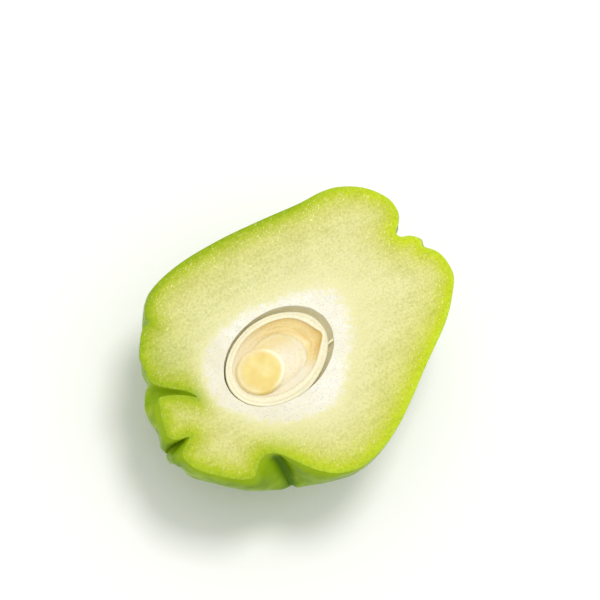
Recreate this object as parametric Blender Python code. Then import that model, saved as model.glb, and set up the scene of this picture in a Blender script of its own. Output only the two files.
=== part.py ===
# Half a chayote squash, cut lengthwise and lying on its rounded back with the cut face up and level.
# The fruit half is one solid: skin, flesh, white core and the stub of the stem. In the hollow of its core
# lies the cut seed, which is a coat, open like a dish, and a kernel inside it.
# Units are metres. +Z is up, +X runs from the blossom end to the stem end, and the origin is on the
# surface below the middle of the half.

import math
from collections import namedtuple

import bmesh
import bpy
import numpy as np
from mathutils import Matrix, Vector

MM = 0.001

# The half as a whole
HALF_DEPTH = 38 * MM                # from the cut face down to the belly
BELLY = (-1 * MM, 1 * MM)           # where the half rests, below its weight
FLAT_SHARE = 0.15                   # size of the flat rest spot as a share of the cut face
SIDE_ROUNDNESS = 2.2                # 2 is an ellipse, more is fuller
END_ROUNDNESS = 2.42
COLUMN_SPACING = 2.3 * MM           # along the cut edge
ROW_COUNT = 20                      # from the cut edge to the rest spot
ROW_CROWDING = 1.45                 # above 1 the rows crowd towards the cut edge

# The seed, its coat and the hollow that they lie in
HOLLOW_CENTRE = (-11.0 * MM, 0.3 * MM)
HOLLOW_RADII = (21.2 * MM, 14.5 * MM, 9.6 * MM)
COAT_CENTRE = (-11.8 * MM, 0.05 * MM)
COAT_RADII = (19.3 * MM, 13.8 * MM, 8.8 * MM)
COAT_INSIDE_CENTRE = (-11.6 * MM, 0.4 * MM)
COAT_INSIDE_RADII = (17.0 * MM, 10.6 * MM, 6.8 * MM)
COAT_BELOW_CUT = 0.1 * MM
KERNEL_CENTRE = (-18.6 * MM, 1.0 * MM, -1.1 * MM)      # the cut seed leaf, from the cut face
KERNEL_RADII = (8.2 * MM, 7.6 * MM, 2.8 * MM)
LEAF_CENTRE = (-10.2 * MM, -0.9 * MM, -3.1 * MM)       # the seed leaf under it
LEAF_RADII = (12.2 * MM, 7.1 * MM, 1.8 * MM)
KERNEL_BELOW_CUT = 0.1 * MM
THREAD_START = (3.2 * MM, -7.1 * MM)                   # the thread that held the seed
THREAD_END = (5.6 * MM, -8.0 * MM)
THREAD_RADIUS = 0.45 * MM

# The cut edge, clockwise as seen from above, in millimetres. A lobe swells out by its flare just below
# the cut. A crease fades out at its reach below the cut, and has wandered along the edge by its drift
# there. Its points run from one lip over its tip to the other lip, and its bulge is how far the fruit
# swells outward where the crease has gone. It narrows to a sharp valley on its way down. The knob is
# what stands up in the crease.
Lobe = namedtuple("Lobe", "name flare points")
Crease = namedtuple("Crease", "name reach drift bulge points knob last_points")
NO_KNOB = ()
CUT_EDGE = (
    Lobe("upper side", 0.5, ((-25, 43.8), (-14, 44.3), (2, 42.3), (17.5, 38.9), (33, 35))),
    Lobe("upper shoulder", 0.4, ((42, 33.4), (48, 31), (55, 25), (58.6, 17.5))),
    Crease("stem dimple", 20.0, 0.0, 1.0, ((57.3, 11.7), (54.6, 8.8), (51.3, 6.1)),
           ((51.6, 4.4), (53.7, 3), (55.2, 1.2), (55.7, -1), (54.4, -3)),
           ((55.5, -4.9), (57, -6.9))),
    Lobe("lower shoulder", 0.4, ((58, -11.3), (56.1, -17), (51, -21.4))),
    Lobe("lower side", 0.2, ((42, -26.9), (24, -33.9), (13, -38.4), (2.5, -42.1))),
    Lobe("belly lobe", 0.8, ((-8, -44), (-17.5, -43.6))),
    Crease("big furrow", 14.0, -7.0, 4.0,
           ((-23.8, -39.8), (-27.4, -35.2), (-30.2, -30.4), (-32.6, -25.8), (-35, -22.2), (-38, -20.4),
            (-40.8, -20.5), (-43.2, -22), (-45.6, -22.8), (-50.4, -19.8)), NO_KNOB, ()),
    Lobe("blossom lobe", 1.5, ((-54.8, -14.6), (-57.9, -9), (-58.3, -5.6))),
    Crease("small furrow", 13.0, 2.0, 2.0,
           ((-56.6, -3.2), (-53.9, -2), (-51.8, -1.1), (-53.4, -0.2), (-55.4, 0.9)), NO_KNOB, ()),
    Lobe("lip lobe", 2.8, ((-56.8, 3.8), (-54.8, 8))),
    Crease("mouth slit", 15.0, 0.0, 2.5,
           ((-51.2, 12.2), (-48.7, 15.6), (-46.3, 14), (-43, 9.9), (-41.4, 7.2), (-42.4, 10.4), (-45.7, 14.7),
            (-48.1, 17.4), (-49.3, 20.5)), NO_KNOB, ()),
    Lobe("cheek", -2.4, ((-49.2, 24), (-47.4, 29), (-43, 33.4))),
    Crease("fold", 10.0, 0.0, 0.5, ((-38.6, 35.5), (-36.3, 35.5), (-35.6, 37), (-33.6, 39.2)), NO_KNOB, ()),
    Lobe("upper corner", 1.4, ((-31.4, 40.9), (-28.6, 42.5))),
)
FLARE_DEPTH = 5 * MM                # the flare is widest at this depth and ends at four times it
PINCH = 2.5                         # how sharp a crease's valley gets by its reach
KNOB_DEPTH = 4.6 * MM               # the stem's stub is round below the cut

# Shallow furrows that run from end to end over the back: angle round the fruit's axis from the upper
# side, depth, and width of the groove in degrees
BACK_FURROWS = ((40, 1.0, 10), (79, 0.9, 9), (113, 1.2, 11), (148, 0.9, 9))
FURROW_MIDDLE = 0.3                 # share of that depth half way along
FURROW_ENDS = 1.5                   # and at the ends
FURROW_START = 11 * MM              # they have their full depth from this far below the cut
FRUIT_HALF_LENGTH = 54 * MM


def smooth_curve(points, per_span):
    """Points on a closed centripetal curve through the given ones, per_span[k] in each span."""
    count = len(points)
    out = []
    for k in range(count):
        p0, p1, p2, p3 = (points[(k + i) % count] for i in (-1, 0, 1, 2))
        t1 = np.linalg.norm(p1 - p0) ** 0.5
        t2 = t1 + np.linalg.norm(p2 - p1) ** 0.5
        t3 = t2 + np.linalg.norm(p3 - p2) ** 0.5
        for t in np.linspace(t1, t2, per_span[k], endpoint=False):
            a1 = (p0 * (t1 - t) + p1 * t) / t1
            a2 = (p1 * (t2 - t) + p2 * (t - t1)) / (t2 - t1)
            a3 = (p2 * (t3 - t) + p3 * (t - t2)) / (t3 - t2)
            b1 = (a1 * (t2 - t) + a2 * t) / t2
            b2 = (a2 * (t3 - t) + a3 * (t - t1)) / (t3 - t1)
            out.append((b1 * (t2 - t) + b2 * (t - t1)) / (t2 - t1))
    return np.array(out)


def bridge(points, first, last, bulge):
    """Lays points first to last on a low arc between their neighbours, as if the crease weren't there."""
    start, end = points[first - 1], points[(last + 1) % len(points)]
    run = np.vstack([start, points[first:last + 1], end])
    steps = np.cumsum(np.linalg.norm(np.diff(run, axis=0), axis=1))
    share = (steps[:-1] / steps[-1])[:, None]
    chord = end - start
    outward = np.array([-chord[1], chord[0]]) / np.linalg.norm(chord)
    points[first:last + 1] = start + chord * share + outward * bulge * 4 * share * (1 - share)


def read_cut_edge():
    """The cut edge, the same without the knob, the same without creases, and each piece's run of points."""
    cut, plain, smooth, runs = [], [], [], []
    bridges, knob_bridges = [], []
    for piece in CUT_EDGE:
        first = len(cut)
        cut.extend(piece.points)
        if isinstance(piece, Crease):
            if piece.knob:
                knob_bridges.append((len(cut), len(cut) + len(piece.knob) - 1))
            cut.extend(piece.knob + piece.last_points)
            bridges.append((first, len(cut) - 1, piece.bulge * MM))
        runs.append((first, len(cut) - 1))
    cut = np.array(cut) * MM
    plain, smooth = cut.copy(), cut.copy()
    for first, last in knob_bridges:
        bridge(plain, first, last, 0.0)
    for first, last, bulge in bridges:
        bridge(smooth, first, last, bulge)
    return cut, plain, smooth, runs


def fade(down):
    """1 at the cut, 0 from a crease's reach downwards."""
    return (1 - down ** 2) ** 2


def half_surface():
    """Rows of points from the cut edge down to the rest spot."""
    cut, plain, smooth, runs = read_cut_edge()
    count = len(cut)
    spans = np.linalg.norm(np.roll(cut, -1, axis=0) - cut, axis=1)
    per_span = np.maximum(1, np.round(spans / COLUMN_SPACING)).astype(int)
    cut, plain, smooth = (smooth_curve(points, per_span) for points in (cut, plain, smooth))
    place_in_list = np.concatenate([k + np.arange(n) / n for k, n in enumerate(per_span)])

    def along_edge(knots):
        """A value for each column, read between knots of place in the list and value."""
        return np.interp(place_in_list, *zip(*knots), period=count)

    lobes = [(run, piece) for run, piece in zip(runs, CUT_EDGE) if isinstance(piece, Lobe)]
    creases = [(run, piece) for run, piece in zip(runs, CUT_EDGE) if isinstance(piece, Crease)]
    flare = along_edge([(end, lobe.flare * MM) for run, lobe in lobes for end in run])
    reach = along_edge([(sum(run) / 2, crease.reach * MM) for run, crease in creases])
    drift = along_edge([(sum(run) / 2, getattr(piece, "drift", 0.0) * MM)
                        for run, piece in zip(runs, CUT_EDGE)])
    inset = np.linalg.norm(plain - smooth, axis=1)
    deepest = along_edge([(sum(run) / 2, inset[(place_in_list >= run[0]) & (place_in_list <= run[1])].max())
                          for run, crease in creases])
    crease_share = np.clip(inset / deepest, 1e-6, 1)

    closed = np.vstack([smooth, smooth[:1]])
    length = np.concatenate([[0], np.cumsum(np.linalg.norm(np.diff(closed, axis=0), axis=1))])
    tangent = np.roll(smooth, -1, axis=0) - np.roll(smooth, 1, axis=0)
    outward = np.stack([-tangent[:, 1], tangent[:, 0]], axis=1)
    outward /= np.linalg.norm(outward, axis=1)[:, None]
    from_belly = smooth - BELLY
    endwise = from_belly[:, 0] ** 2 / (from_belly ** 2).sum(axis=1)
    roundness = SIDE_ROUNDNESS + (END_ROUNDNESS - SIDE_ROUNDNESS) * endwise

    rows = []
    last_angle = math.acos(FLAT_SHARE)
    for row in range(ROW_COUNT + 1):
        share = math.cos(last_angle * (row / ROW_COUNT) ** ROW_CROWDING)
        depth = HALF_DEPTH * (1 - share ** roundness) ** (1 / roundness)
        if row == ROW_COUNT:
            depth = np.full_like(depth, HALF_DEPTH)
        down = np.clip(depth / reach, 0, 1)
        place = np.mod(length[:-1] + drift * np.sin(down * math.pi / 2), length[-1])
        body = np.stack([np.interp(place, length, closed[:, i]) for i in (0, 1)], axis=1)
        crease = (plain - smooth) * (fade(down) * crease_share ** (PINCH * np.sqrt(down)))[:, None]
        knob = (cut - plain) * np.sqrt(np.clip(1 - (depth / KNOB_DEPTH) ** 2, 0, 1))[:, None]
        swell = np.sin(np.sqrt(np.clip(depth / FLARE_DEPTH, 0, 4)) * math.pi / 2) * flare
        flat = BELLY + (body - BELLY) * share + crease + knob + outward * swell[:, None]
        rows.append(furrowed(flat, depth))
    return rows


def furrowed(flat, depth):
    """Points of one row with the back's furrows pressed in, towards the fruit's long axis."""
    angle = np.degrees(np.arctan2(depth, flat[:, 1]))
    endwise = np.clip(np.abs(flat[:, 0]) / FRUIT_HALF_LENGTH, 0, 1) ** 3
    towards_ends = FURROW_MIDDLE + (FURROW_ENDS - FURROW_MIDDLE) * endwise
    press = sum(deep * MM * np.exp(-((angle - at) / width) ** 2) for at, deep, width in BACK_FURROWS)
    press = press * towards_ends * np.clip(depth / FURROW_START, 0, 1) * (1 - (depth / HALF_DEPTH) ** 4)
    reach = np.maximum(np.hypot(flat[:, 1], depth), MM)
    kept = 1 - press / reach
    return np.stack([flat[:, 0], flat[:, 1] * kept, HALF_DEPTH - depth * kept], axis=1)


def loft(name, rows):
    """A closed mesh through rows of points, with a flat face at each end."""
    mesh = bmesh.new()
    rings = [[mesh.verts.new(point) for point in row] for row in rows]
    for upper, lower in zip(rings, rings[1:]):
        for i, corner in enumerate(upper):
            mesh.faces.new((upper[i - 1], corner, lower[i], lower[i - 1]))
    mesh.faces.new(rings[0])
    mesh.faces.new(reversed(rings[-1]))
    return finish_mesh(name, mesh)


def finish_mesh(name, mesh):
    bmesh.ops.recalc_face_normals(mesh, faces=mesh.faces)
    data = bpy.data.meshes.new(name)
    mesh.to_mesh(data)
    mesh.free()
    data.shade_smooth()
    data.set_sharp_from_angle(angle=math.radians(40))
    return bpy.data.objects.new(name, data)


def ball(name, centre, radii, segments, rings, cut_at=None):
    """A stretched sphere, cut off flat at a height if one is given."""
    mesh = bmesh.new()
    place = Matrix.Translation(centre) @ Matrix.Diagonal((*radii, 1))
    bmesh.ops.create_uvsphere(mesh, u_segments=segments, v_segments=rings, radius=1, matrix=place)
    if cut_at is not None:
        everything = mesh.verts[:] + mesh.edges[:] + mesh.faces[:]
        cut = bmesh.ops.bisect_plane(mesh, geom=everything, dist=1e-7, plane_co=(0, 0, cut_at),
                                     plane_no=(0, 0, 1), clear_outer=True)
        rim = [item for item in cut["geom_cut"] if isinstance(item, bmesh.types.BMEdge)]
        bmesh.ops.contextual_create(mesh, geom=rim)
    return finish_mesh(name, mesh)


def rod(name, start, end, radius):
    """A short round rod with eight sides."""
    start, end = Vector(start), Vector(end)
    mesh = bmesh.new()
    turn = (end - start).to_track_quat("Z", "Y").to_matrix().to_4x4()
    place = Matrix.Translation((start + end) / 2) @ turn
    bmesh.ops.create_cone(mesh, cap_ends=True, segments=8, radius1=radius, radius2=radius,
                          depth=(end - start).length, matrix=place)
    return finish_mesh(name, mesh)


def material(name, colour, roughness):
    made = bpy.data.materials.new(name)
    made.use_nodes = True
    shader = made.node_tree.nodes["Principled BSDF"]
    shader.inputs["Base Color"].default_value = (*colour, 1)
    shader.inputs["Roughness"].default_value = roughness
    shader.inputs["Metallic"].default_value = 0.0
    return made


def combine(target, tool, operation, cutters):
    """Cuts the tool from the target or joins it on, and keeps the tool as a hidden guide."""
    step = target.modifiers.new(f"{operation.title()} {tool.name}", "BOOLEAN")
    step.operation = operation
    step.object = tool
    step.solver = "EXACT"
    cutters.objects.link(tool)
    tool.display_type = "WIRE"
    tool.hide_render = True


def make_fruit_half(parts, cutters):
    fruit = loft("fruit_half", half_surface())
    fruit.data.materials.append(material("flesh_and_skin", (0.52, 0.62, 0.22), 0.35))
    parts.objects.link(fruit)
    hollow = ball("seed_hollow", (*HOLLOW_CENTRE, HALF_DEPTH), HOLLOW_RADII, 48, 24)
    combine(fruit, hollow, "DIFFERENCE", cutters)


def make_seed_coat(parts, cutters):
    top = HALF_DEPTH - COAT_BELOW_CUT
    coat = ball("seed_coat", (*COAT_CENTRE, HALF_DEPTH), COAT_RADII, 40, 20, top)
    coat.data.materials.append(material("coat", (0.86, 0.80, 0.62), 0.45))
    parts.objects.link(coat)
    inside = ball("coat_inside", (*COAT_INSIDE_CENTRE, HALF_DEPTH), COAT_INSIDE_RADII, 40, 16)
    combine(coat, inside, "DIFFERENCE", cutters)
    height = top - 2 * THREAD_RADIUS
    thread = rod("seed_thread", (*THREAD_START, height), (*THREAD_END, height), THREAD_RADIUS)
    combine(coat, thread, "UNION", cutters)


def make_seed_kernel(parts, cutters):
    top = HALF_DEPTH - KERNEL_BELOW_CUT
    x, y, z = KERNEL_CENTRE
    kernel = ball("seed_kernel", (x, y, HALF_DEPTH + z), KERNEL_RADII, 32, 16, top)
    kernel.data.materials.append(material("kernel", (0.88, 0.74, 0.38), 0.4))
    parts.objects.link(kernel)
    x, y, z = LEAF_CENTRE
    leaf = ball("lower_seed_leaf", (x, y, HALF_DEPTH + z), LEAF_RADII, 32, 12)
    combine(kernel, leaf, "UNION", cutters)


def main():
    for thing in list(bpy.data.objects):
        bpy.data.objects.remove(thing, do_unlink=True)
    parts = bpy.data.collections.new("chayote_half")
    cutters = bpy.data.collections.new("cutters_and_joined_shapes")
    for group in (parts, cutters):
        bpy.context.scene.collection.children.link(group)
    make_fruit_half(parts, cutters)
    make_seed_coat(parts, cutters)
    make_seed_kernel(parts, cutters)


main()
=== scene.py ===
import math

import bpy
import numpy as np
from mathutils import Matrix, Vector, noise
from mathutils.geometry import delaunay_2d_cdt


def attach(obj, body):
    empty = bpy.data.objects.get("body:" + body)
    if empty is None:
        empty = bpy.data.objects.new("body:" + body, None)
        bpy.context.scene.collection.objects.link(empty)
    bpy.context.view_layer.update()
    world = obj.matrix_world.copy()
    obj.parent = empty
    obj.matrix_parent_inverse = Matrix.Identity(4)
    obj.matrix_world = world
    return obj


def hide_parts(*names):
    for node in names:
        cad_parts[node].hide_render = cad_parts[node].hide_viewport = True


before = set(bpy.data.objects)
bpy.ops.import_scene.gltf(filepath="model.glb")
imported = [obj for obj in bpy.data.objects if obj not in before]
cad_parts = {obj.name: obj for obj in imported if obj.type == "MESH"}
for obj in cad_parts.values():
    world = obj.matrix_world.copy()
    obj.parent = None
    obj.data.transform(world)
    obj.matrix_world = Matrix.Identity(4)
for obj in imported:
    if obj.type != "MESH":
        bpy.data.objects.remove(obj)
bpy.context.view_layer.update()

# Half a chayote squash, lying on its back with the cut face up. All shapes here are worked out in
# millimetres and turned to metres when a mesh is made. +X runs to the stem end, +Z up.
mm = 0.001


# Small helpers

def smoothStep(values, low, high):
    share = np.clip((values - low) / (high - low), 0, 1)
    return share * share * (3 - 2 * share)


def roundTable(degrees, table):  # a value read between (angle, value) pairs that go once round
    return np.interp(degrees, *zip(*table), period=360)


def noiseAt(points, grain, shift=0.0):  # grain is the size of one lump along x, y and z, in mm
    scaled = np.asarray(points) / np.asarray(grain) + shift
    return np.array([noise.noise(p) for p in scaled.reshape(-1, 3).tolist()]).reshape(scaled.shape[:-1])


def smoothCurve(points, perSpan):  # closed centripetal curve, perSpan[k] points in each span
    out = []
    count = len(points)
    for k in range(count):
        p0, p1, p2, p3 = (points[(k + i) % count] for i in (-1, 0, 1, 2))
        t1 = np.linalg.norm(p1 - p0) ** 0.5
        t2 = t1 + np.linalg.norm(p2 - p1) ** 0.5
        t3 = t2 + np.linalg.norm(p3 - p2) ** 0.5
        t = np.linspace(t1, t2, perSpan[k], endpoint=False)[:, None]
        a1 = (p0 * (t1 - t) + p1 * t) / t1
        a2 = (p1 * (t2 - t) + p2 * (t - t1)) / (t2 - t1)
        a3 = (p2 * (t3 - t) + p3 * (t - t2)) / (t3 - t2)
        b1 = (a1 * (t2 - t) + a2 * t) / t2
        b2 = (a2 * (t3 - t) + a3 * (t - t1)) / (t3 - t1)
        out.append((b1 * (t2 - t) + b2 * (t - t1)) / (t2 - t1))
    return np.vstack(out)


def spanCounts(points, spacing):
    spans = np.linalg.norm(np.roll(points, -1, axis=0) - points, axis=1)
    return np.maximum(1, np.round(spans / spacing)).astype(int)


def outwardOf(ring):  # for a ring that runs clockwise as seen from above
    along = np.roll(ring, -1, axis=0) - np.roll(ring, 1, axis=0)
    out = np.stack([-along[:, 1], along[:, 0]], axis=1)
    return out / np.linalg.norm(out, axis=1)[:, None]


def insideOf(ring, points):
    inside = np.zeros(len(points), bool)
    for (ax, ay), (bx, by) in zip(ring, np.roll(ring, -1, axis=0)):
        crosses = (ay > points[:, 1]) != (by > points[:, 1])
        if ay != by:
            inside ^= crosses & (points[:, 0] < (bx - ax) * (points[:, 1] - ay) / (by - ay) + ax)
    return inside


def distanceTo(ring, points):  # to the nearest stretch of a closed ring
    best = np.full(len(points), np.inf)
    for a, b in zip(ring, np.roll(ring, -1, axis=0)):
        run = b - a
        share = np.clip(((points - a) @ run) / max(run @ run, 1e-12), 0, 1)
        best = np.minimum(best, ((points - a - share[:, None] * run) ** 2).sum(axis=1))
    return np.sqrt(best)


def gridFaces(rows, columns, start=0):  # quads between closed rings of points
    r, c = np.meshgrid(np.arange(rows - 1), np.arange(columns), indexing="ij")
    here = start + r * columns + c
    beside = start + r * columns + (c + 1) % columns
    return np.stack([here, beside, beside + columns, here + columns], axis=-1).reshape(-1, 4)


def closedForm(rings, low, high):  # points and faces of rings that are closed by a point at each end
    rows, columns = rings.shape[:2]
    points = np.vstack([rings.reshape(-1, 3), [low], [high]])
    end = rows * columns
    faces = [tuple(f) for f in gridFaces(rows, columns)]
    faces += [((i + 1) % columns, i, end) for i in range(columns)]
    faces += [(end - columns + i, end - columns + (i + 1) % columns, end + 1) for i in range(columns)]
    return points, faces


def makePiece(name, points, faces, materials, faceMaterials=None, marks=None, sharpAngle=None):
    mesh = bpy.data.meshes.new(name)
    mesh.from_pydata((np.asarray(points) * mm).tolist(), [], [list(f) for f in faces])
    for material in materials:
        mesh.materials.append(material)
    if faceMaterials is not None:
        mesh.polygons.foreach_set("material_index", np.asarray(faceMaterials, np.int32))
    for mark, values in (marks or {}).items():
        mesh.attributes.new(mark, "FLOAT", "POINT").data.foreach_set("value", np.asarray(values, np.float32))
    mesh.shade_smooth()
    if sharpAngle:
        mesh.set_sharp_from_angle(angle=math.radians(sharpAngle))
    mesh.validate()
    mesh.update()
    piece = bpy.data.objects.new(name, mesh)
    bpy.context.scene.collection.objects.link(piece)
    return piece


# Materials

def hexColour(text):  # sRGB hex to the linear colour that the shader takes
    channels = [int(text[i:i + 2], 16) / 255 for i in (1, 3, 5)]
    return (*[c / 12.92 if c <= 0.04045 else ((c + 0.055) / 1.055) ** 2.4 for c in channels], 1.0)


def perMm(size):  # pattern scale for one repeat every so many mm
    return 1 / (size * mm)


def inMm(sizes):  # the size of one repeat along x, y and z, for a Mapping node of the texture kind
    return tuple(size * mm for size in sizes)


# Adds a node. A value is a number, a hex colour, a socket, or a node, which stands for its first output.
def addNode(tree, kind, links=None, ramp=None, **settings):
    node = tree.nodes.new("ShaderNode" + kind)
    for key, value in settings.items():
        setattr(node, key, value)
    for socket, value in (links or {}).items():
        target = node.inputs[socket] if isinstance(socket, int) else \
            next(entry for entry in node.inputs if entry.enabled and entry.name == socket)
        if isinstance(value, bpy.types.Node):
            value = next(out for out in value.outputs if out.enabled)
        if isinstance(value, bpy.types.NodeSocket):
            tree.links.new(value, target)
        else:
            target.default_value = hexColour(value) if isinstance(value, str) else value
    if ramp:
        points = node.color_ramp.elements
        while len(points) < len(ramp):
            points.new(1.0)
        for point, (place, colour) in zip(points, ramp):
            point.position = place
            point.color = hexColour(colour)
    return node


def startMaterial(name, **values):  # the shader's own values are set here, patterns are linked later
    material = bpy.data.materials.new(name)
    material.use_nodes = True
    tree = material.node_tree
    shader = tree.nodes["Principled BSDF"]
    for socket, value in values.items():
        shader.inputs[socket.replace("_", " ")].default_value = value
    return material, tree, shader


def readMarks(tree, names):  # the object's own coordinates, and the marks that its points carry
    place = addNode(tree, "TexCoord").outputs["Object"]
    return place, {name: addNode(tree, "Attribute", attribute_name=name).outputs["Fac"] for name in names}


def finishMaterial(tree, shader, colour, bumps):  # bumps are (height, depth in mm, strength), laid on in turn
    tree.links.new(next(out for out in colour.outputs if out.enabled), shader.inputs["Base Color"])
    normal = None
    for height, depth, strength in bumps:
        links = {"Height": height, "Distance": depth * mm, "Strength": strength}
        if normal:
            links["Normal"] = normal
        normal = addNode(tree, "Bump", links)
    tree.links.new(normal.outputs["Normal"], shader.inputs["Normal"])


# Chayote skin, grown, washed and smooth. A thin wax gives it a soft gloss, and fine lengthwise wrinkles
# and pale specks show from close up.
skinLook = {
    "deep": "#64860a", "mid": "#82a412", "pale": "#a2bc30", "valley": "#86a608", "speck": "#b8cc68",
    # the near-cut colour is fresh green with painted light on the flank; the crevice colour is painted shade
    "freshAndLitNearCut": "#9ab814", "crevice": "#48700a",
    "streakGrain": (26, 3.2, 3.2), "blotchSize": 13, "speckSize": 1.5, "wrinkleGrain": (7, 1.3, 1.3),
    "poreSize": 0.45, "wrinkleDepth": 0.2, "poreDepth": 0.03,
}


def makeSkinMaterial():
    look = skinLook
    material, tree, shader = startMaterial("chayote skin, waxy", Roughness=0.32, IOR=1.4,
                                           Specular_IOR_Level=0.16, Subsurface_Weight=0.12,
                                           Subsurface_Scale=1.2 * mm, Subsurface_Radius=(1.0, 1.0, 0.25))
    place, marks = readMarks(tree, ("valley", "freshAndLitNearCut", "crevice"))

    # long streaks and round blotches set the tone together
    along = addNode(tree, "Mapping", {"Vector": place, "Scale": inMm(look["streakGrain"])},
                    vector_type="TEXTURE")
    streaks = addNode(tree, "TexNoise", {"Vector": along, "Scale": 1.0, "Detail": 4.0, "Roughness": 0.6})
    blotches = addNode(tree, "TexNoise", {"Vector": place, "Scale": perMm(look["blotchSize"]), "Detail": 3.0})
    both = addNode(tree, "Math", {0: streaks, 1: blotches}, operation="ADD")
    toneShare = addNode(tree, "MapRange", {"Value": both, "From Min": 0.66, "From Max": 1.3})
    colour = addNode(tree, "ValToRGB", {"Fac": toneShare},
                     ramp=((0.0, look["deep"]), (0.5, look["mid"]), (1.0, look["pale"])))

    # pale specks, the furrows' own green, the strip under the cut: fresh green and painted light, and painted
    # shade in the crevices
    specks = addNode(tree, "TexVoronoi", {"Vector": place, "Scale": perMm(look["speckSize"])})
    speckShare = addNode(tree, "MapRange", {"Value": specks, "From Min": 0.16, "From Max": 0.05,
                                            "To Max": 0.35})
    valleyShare = addNode(tree, "MapRange", {"Value": marks["valley"], "From Min": 0.1, "To Max": 0.6})
    freshAndLitShare = addNode(tree, "Math", {0: marks["freshAndLitNearCut"], 1: 0.75}, operation="MULTIPLY")
    for share, layer in ((speckShare, "speck"), (valleyShare, "valley"), (freshAndLitShare, "freshAndLitNearCut"),
                         (marks["crevice"], "crevice")):
        colour = addNode(tree, "Mix", {"Factor": share, "A": colour, "B": look[layer]}, data_type="RGBA")

    creased = addNode(tree, "Mapping", {"Vector": place, "Scale": inMm(look["wrinkleGrain"])},
                      vector_type="TEXTURE")
    wrinkles = addNode(tree, "TexNoise", {"Vector": creased, "Scale": 1.0, "Detail": 3.0})
    pores = addNode(tree, "TexNoise", {"Vector": place, "Scale": perMm(look["poreSize"]), "Detail": 2.0})
    bumps = [(wrinkles, look["wrinkleDepth"], 0.6), (pores, look["poreDepth"], 0.4)]
    finishMaterial(tree, shader, colour, bumps)
    return material


# Chayote flesh, knife-cut and moist. Light goes a little way into it. It is vivid green under the skin,
# pale inside and white and cottony round the seed. Painted light: the side of the cut towards the light is
# painted brighter and the far side darker, and glints of the wet cut cells are painted as short bright
# flecks.
fleshLook = {
    # painted light: the shaded and sunny ramps are darker and brighter copies of one ramp, for the sides away
    # from and towards the light
    "shadedSide": ((0.0, "#92b012"), (0.08, "#a0ba0c"), (0.16, "#b5c42e"), (0.28, "#c8cf5a"),
                   (0.5, "#d9d885"), (1.0, "#e3e1a3")),
    "sunnySide": ((0.0, "#c6de3c"), (0.08, "#cadc1e"), (0.16, "#ccd830"), (0.28, "#d1d758"),
                  (0.5, "#dcdc84"), (1.0, "#e7e4a6")),
    "rampDepth": 16.0, "greener": "#dce8c0", "shade": "#ecedd6", "grit": "#ced69e",
    # the core's cream patches are its own tone; the same cream colour is also painted shade at the core's
    # left end
    "halo": "#eee9b8", "core": "#f6f4e6", "coreCreamAndShade": "#e8e2c6", "coreShade": "#dcdcca",
    "coreSpeck": "#9aa29c", "fleck": "#faf8b0", "wall": "#f8f1d0",
    "edgeGrain": 2.0, "cloudSize": 8, "fibreGrain": (16, 1.6, 1.6), "gritSize": 0.9, "coreGrain": 1.1,
    "creamSize": 7, "speckSize": 0.9, "fleckTurn": 33, "fibreTurn": -12,
    "bandRagged": 0.7, "coreRagged": 1.2,  # how many mm their edges wander
    "haloStrength": 0.8, "fleckSoftness": 0.2,
    # the flecks are painted highlights, glints of the wet cut cells, with a slight bump of their own
    # grain in mm, share of cells with no fleck, smallest and largest fleck as a share of a cell, strength
    "flecks": (((1.9, 0.8, 0.8), 0.35, 0.0, 0.4, 0.6), ((1.0, 0.55, 0.55), 0.0, 0.08, 0.46, 0.5)),
}


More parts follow.
